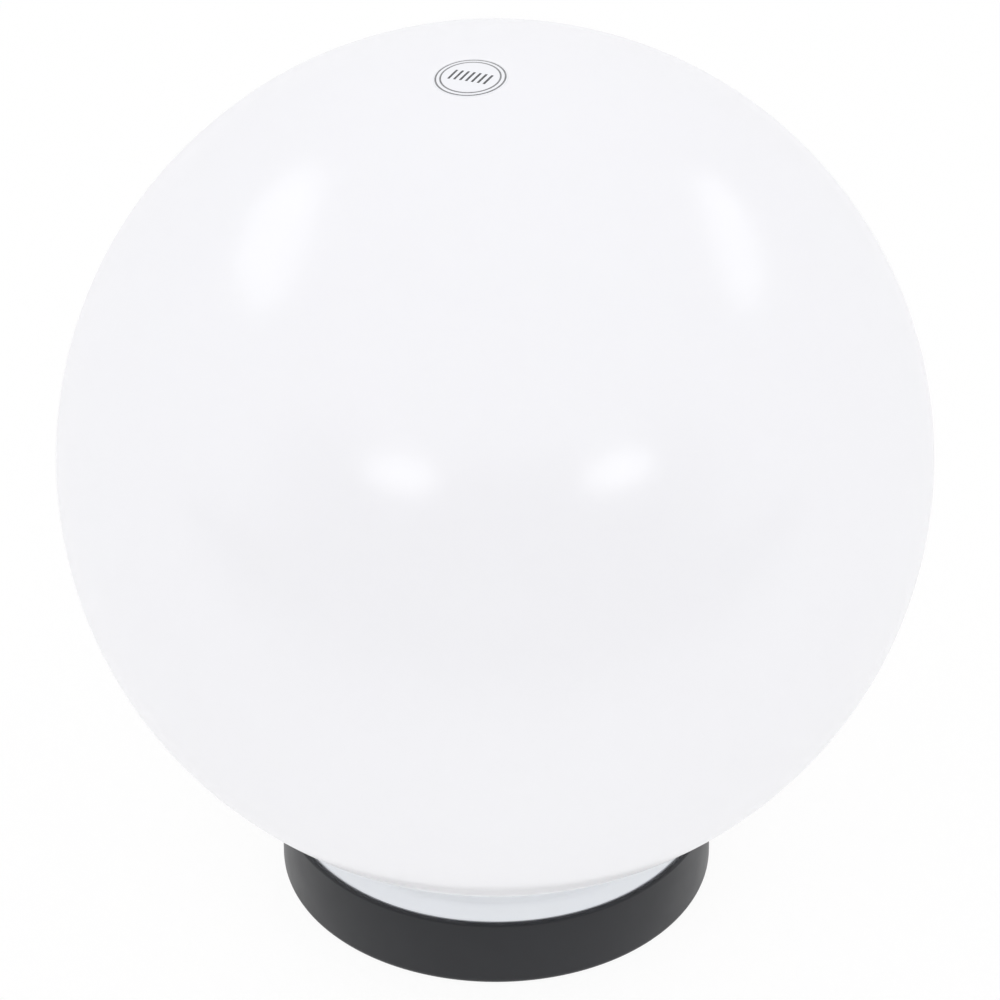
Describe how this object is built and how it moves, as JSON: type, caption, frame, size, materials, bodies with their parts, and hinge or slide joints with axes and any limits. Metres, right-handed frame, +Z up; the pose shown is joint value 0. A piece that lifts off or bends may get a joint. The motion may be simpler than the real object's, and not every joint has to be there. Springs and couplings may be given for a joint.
{
  "type": "garden globe light",
  "caption": "Glossy opal white ball on a low round black base with a white inner collar; the ball lifts off spring clips over a screw-in bulb.",
  "frame": {"origin": "middle of the underside of the base, on the surface it stands on", "axes": "+Z up through the ball, -Y the side seen in the picture, +X to its right"},
  "size_m": [0.2999, 0.2998, 0.3202],
  "materials": {
    "opal_plastic": "glossy opal white",
    "label_film": "clear film with printed rings",
    "white_plastic": "glossy moulded white",
    "black_plastic": "satin moulded black",
    "clear_silicone": "translucent silicone",
    "black_rubber": "matt",
    "spring_steel": "rolled stainless strip",
    "screw_steel": "zinc plated",
    "porcelain": "glazed white",
    "contact_brass": "stamped",
    "shell_nickel": "nickel plated sheet",
    "live_brown": "wire insulation",
    "neutral_blue": "wire insulation",
    "earth_green_yellow": "wire insulation",
    "terminal_nylon": "moulded nylon",
    "cap_black": "moulded insulator",
    "bulb_diffuser": "frosted white",
    "bulb_base_white": "satin white",
    "board_aluminium": "white coated board",
    "chip_yellow": "phosphor",
    "driver_green": "circuit board"
  },
  "bodies": {
    "base": {"base_housing": "black_plastic", "foot_seal": "black_rubber", "cable_grommet": "black_rubber", "collar": "white_plastic", "collar_seal": "clear_silicone", "neck_seal": "clear_silicone", "globe_clips": "spring_steel", "collar_screws": "screw_steel", "lampholder_bracket": "screw_steel", "bracket_screws": "screw_steel", "lampholder_body": "porcelain", "lampholder_screws": "screw_steel", "lampholder_nuts": "screw_steel", "lampholder_shell": "shell_nickel", "centre_contact": "contact_brass", "shell_contact": "contact_brass", "lampholder_terminal_screws": "screw_steel", "terminal_block": "terminal_nylon", "terminal_inserts": "contact_brass", "terminal_screws": "screw_steel", "terminal_block_screws": "screw_steel", "live_wire": "live_brown", "neutral_wire": "neutral_blue", "earth_wire": "earth_green_yellow", "earth_tag": "contact_brass"},
    "globe": {"globe": "opal_plastic", "top_sticker": "label_film"},
    "bulb_tip": {"bulb_tip_contact": "contact_brass"},
    "bulb": {"bulb_cap": "shell_nickel", "bulb_cap_insulator": "cap_black", "bulb_heatsink": "bulb_base_white", "bulb_dome": "bulb_diffuser", "bulb_led_board": "board_aluminium", "bulb_led_chips": "chip_yellow", "bulb_driver_board": "driver_green"}
  },
  "joints": [
    {"name": "globe_lift", "type": "slide", "parent": "base", "child": "globe", "axis": [0, 0, 1], "range_m": [0, 0.15], "deforming": ["globe_clips"]},
    {"name": "bulb_rise", "type": "slide", "parent": "base", "child": "bulb_tip", "axis": [0, 0, 1], "range_m": [0, 0.0118]},
    {"name": "bulb_turn", "type": "hinge", "parent": "bulb_tip", "child": "bulb", "pos_m": [0, 0, 0.03], "axis": [0, 0, 1], "range_deg": [0, 1170]}
  ],
  "couplings": [
    {"joint": "bulb_rise", "follows": "bulb_turn", "m_per_rad": 0.00057751}
  ]
}
